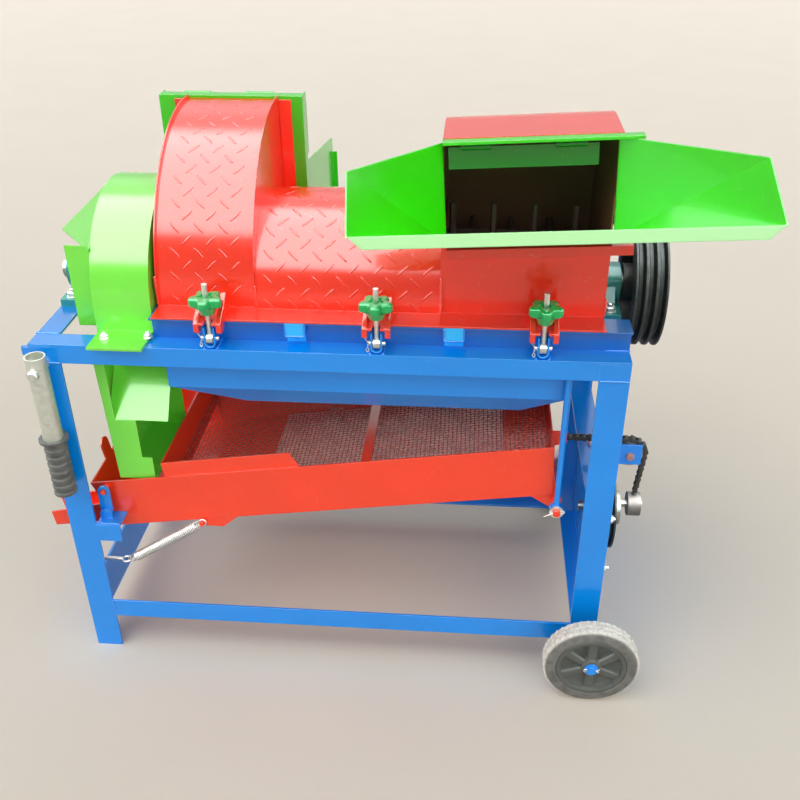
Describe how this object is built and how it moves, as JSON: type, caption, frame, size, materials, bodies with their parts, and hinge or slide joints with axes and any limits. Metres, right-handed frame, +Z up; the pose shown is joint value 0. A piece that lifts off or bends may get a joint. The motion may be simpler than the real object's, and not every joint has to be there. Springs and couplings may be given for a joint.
{
  "type": "threshing machine",
  "caption": "Small threshing machine on a wheeled angle-iron frame, with feed hopper, pegged drum, straw outlet, fan and shaking screen tray.",
  "frame": {"origin": "middle of the footprint at the floor", "axes": "+X along the rotor shaft from the fan to the drive pulley, +Y from the feeding side to the straw outlet, +Z up"},
  "size_m": [1.2266, 0.8076, 1.0474],
  "materials": {
    "frame_paint": "gloss",
    "cover_paint": "gloss",
    "tray_paint": "gloss",
    "hopper_paint": "gloss",
    "fan_paint": "gloss",
    "bearing_paint": "satin",
    "pulley_iron": "satin",
    "steel": "satin",
    "chain_steel": "satin",
    "zinc": "satin",
    "tube_zinc": "satin",
    "tyre": "matte",
    "grip_rubber": "matte",
    "knob_plastic": "gloss",
    "wheel_plastic": "matte"
  },
  "bodies": {
    "frame": {"left_legs": "frame_paint", "right_legs": "frame_paint", "top_long_rails": "frame_paint", "top_cross_rails": "frame_paint", "lower_long_rails": "frame_paint", "lower_cross_rails": "frame_paint", "crank_rail": "frame_paint", "side_panel": "frame_paint", "frame_brackets": "frame_paint", "roller_bracket": "frame_paint", "wheel_axles": "frame_paint", "lower_casing": "frame_paint", "concave_grate": "frame_paint", "grain_funnel": "frame_paint", "thrower_housing": "cover_paint", "drum_cover": "cover_paint", "feed_box": "cover_paint", "hopper": "hopper_paint", "outlet_collar": "hopper_paint", "outlet_chute": "hopper_paint", "blower_housing": "fan_paint", "blower_inlet": "fan_paint", "air_duct": "fan_paint", "main_bearings": "bearing_paint", "clamp_lugs": "frame_paint", "clamp_forks": "cover_paint", "tension_spring": "steel", "spring_eye_bolt": "zinc", "crank_bearing": "bearing_paint", "pull_chain": "chain_steel", "handle_bolts": "zinc"},
    "rotor": {"main_shaft": "steel", "threshing_drum": "cover_paint", "thrower_paddles": "cover_paint", "fan_impeller": "hopper_paint", "drive_pulley": "pulley_iron"},
    "crank": {"crank_shaft": "steel", "crank_pulley": "pulley_iron"},
    "ring": {"connecting_ring": "steel"},
    "roller": {"chain_roller": "steel"},
    "tray": {"screen_tray": "tray_paint", "screen_mesh": "steel"},
    "hanger_pair": {"hangers": "frame_paint"},
    "rocker_pair": {"rockers": "frame_paint"},
    "wheel_front": {"tyre_front": "tyre", "rim_front": "wheel_plastic"},
    "wheel_rear": {"tyre_rear": "tyre", "rim_rear": "wheel_plastic"},
    "handle_front": {"handle_tube_front": "tube_zinc", "handle_grip_front": "grip_rubber"},
    "handle_rear": {"handle_tube_rear": "tube_zinc", "handle_grip_rear": "grip_rubber"},
    "flap": {"hopper_flap": "hopper_paint"},
    "hood": {"outlet_hood": "hopper_paint"},
    "clamp_1": {"swing_bolt_1": "zinc"},
    "knob_1": {"clamp_knob_1": "knob_plastic"},
    "clamp_2": {"swing_bolt_2": "zinc"},
    "knob_2": {"clamp_knob_2": "knob_plastic"},
    "clamp_3": {"swing_bolt_3": "zinc"},
    "knob_3": {"clamp_knob_3": "knob_plastic"}
  },
  "joints": [
    {"name": "rotor_spin", "type": "hinge", "parent": "frame", "child": "rotor", "pos_m": [0, -0.07875, 0.736], "axis": [1, 0, 0], "continuous": true},
    {"name": "crank_spin", "type": "hinge", "parent": "frame", "child": "crank", "pos_m": [0.45175, -0.17375, 0.308], "axis": [1, 0, 0], "continuous": true, "deforming": ["pull_chain"]},
    {"name": "ring_swing", "type": "hinge", "parent": "crank", "child": "ring", "pos_m": [0.51375, -0.17375, 0.318], "axis": [1, 0, 0], "continuous": true},
    {"name": "roller_spin", "type": "hinge", "parent": "frame", "child": "roller", "pos_m": [0.49275, -0.17375, 0.436], "axis": [0, 1, 0], "continuous": true},
    {"name": "tray_slide", "type": "slide", "parent": "frame", "child": "tray", "axis": [1, 0, 0], "range_m": [-0.008, 0.008], "stiffness_N_per_m": 2000, "deforming": ["tension_spring", "pull_chain"]},
    {"name": "hanger_swing", "type": "hinge", "parent": "frame", "child": "hanger_pair", "pos_m": [0.35675, -0.07875, 0.672], "axis": [0, 1, 0], "range_deg": [-1.6, 1.6]},
    {"name": "rocker_swing", "type": "hinge", "parent": "frame", "child": "rocker_pair", "pos_m": [-0.48425, -0.07875, 0.325], "axis": [0, 1, 0], "range_deg": [-10.3, 10.3]},
    {"name": "wheel_front_spin", "type": "hinge", "parent": "frame", "child": "wheel_front", "pos_m": [0.43775, -0.36375, 0.089], "axis": [0, 1, 0], "continuous": true},
    {"name": "wheel_rear_spin", "type": "hinge", "parent": "frame", "child": "wheel_rear", "pos_m": [0.43775, 0.20625, 0.089], "axis": [0, 1, 0], "continuous": true},
    {"name": "handle_front_swing", "type": "hinge", "parent": "frame", "child": "handle_front", "pos_m": [-0.52625, -0.33075, 0.66], "axis": [0, 1, 0], "range_deg": [0, 100]},
    {"name": "handle_rear_swing", "type": "hinge", "parent": "frame", "child": "handle_rear", "pos_m": [-0.52625, 0.17325, 0.66], "axis": [0, 1, 0], "range_deg": [0, 100]},
    {"name": "hopper_flap_swing", "type": "hinge", "parent": "frame", "child": "flap", "pos_m": [0.27187, -0.23455, 1.0241], "axis": [0.9986, 0, 0.0523], "range_deg": [-60, 70]},
    {"name": "outlet_hood_swing", "type": "hinge", "parent": "frame", "child": "hood", "pos_m": [-0.25875, 0.10255, 1.009], "axis": [1, 0, 0], "range_deg": [0, 75]},
    {"name": "clamp_1_swing", "type": "hinge", "parent": "frame", "child": "clamp_1", "pos_m": [-0.23625, -0.29375, 0.712], "axis": [1, 0, 0], "range_deg": [0, 100]},
    {"name": "knob_1_turn", "type": "hinge", "parent": "clamp_1", "child": "knob_1", "pos_m": [-0.23625, -0.29375, 0.768], "axis": [0, 0, 1], "continuous": true},
    {"name": "clamp_2_swing", "type": "hinge", "parent": "frame", "child": "clamp_2", "pos_m": [0.03975, -0.29375, 0.712], "axis": [1, 0, 0], "range_deg": [0, 100]},
    {"name": "knob_2_turn", "type": "hinge", "parent": "clamp_2", "child": "knob_2", "pos_m": [0.03975, -0.29375, 0.768], "axis": [0, 0, 1], "continuous": true},
    {"name": "clamp_3_swing", "type": "hinge", "parent": "frame", "child": "clamp_3", "pos_m": [0.30875, -0.29375, 0.712], "axis": [1, 0, 0], "range_deg": [0, 100]},
    {"name": "knob_3_turn", "type": "hinge", "parent": "clamp_3", "child": "knob_3", "pos_m": [0.30875, -0.29375, 0.768], "axis": [0, 0, 1], "continuous": true}
  ],
  "couplings": [
    {"joint": "ring_swing", "follows": "crank_spin", "ratio": -1},
    {"joint": "hanger_swing", "follows": "tray_slide", "rad_per_m": -3.3898},
    {"joint": "rocker_swing", "follows": "tray_slide", "rad_per_m": 22.222}
  ]
}
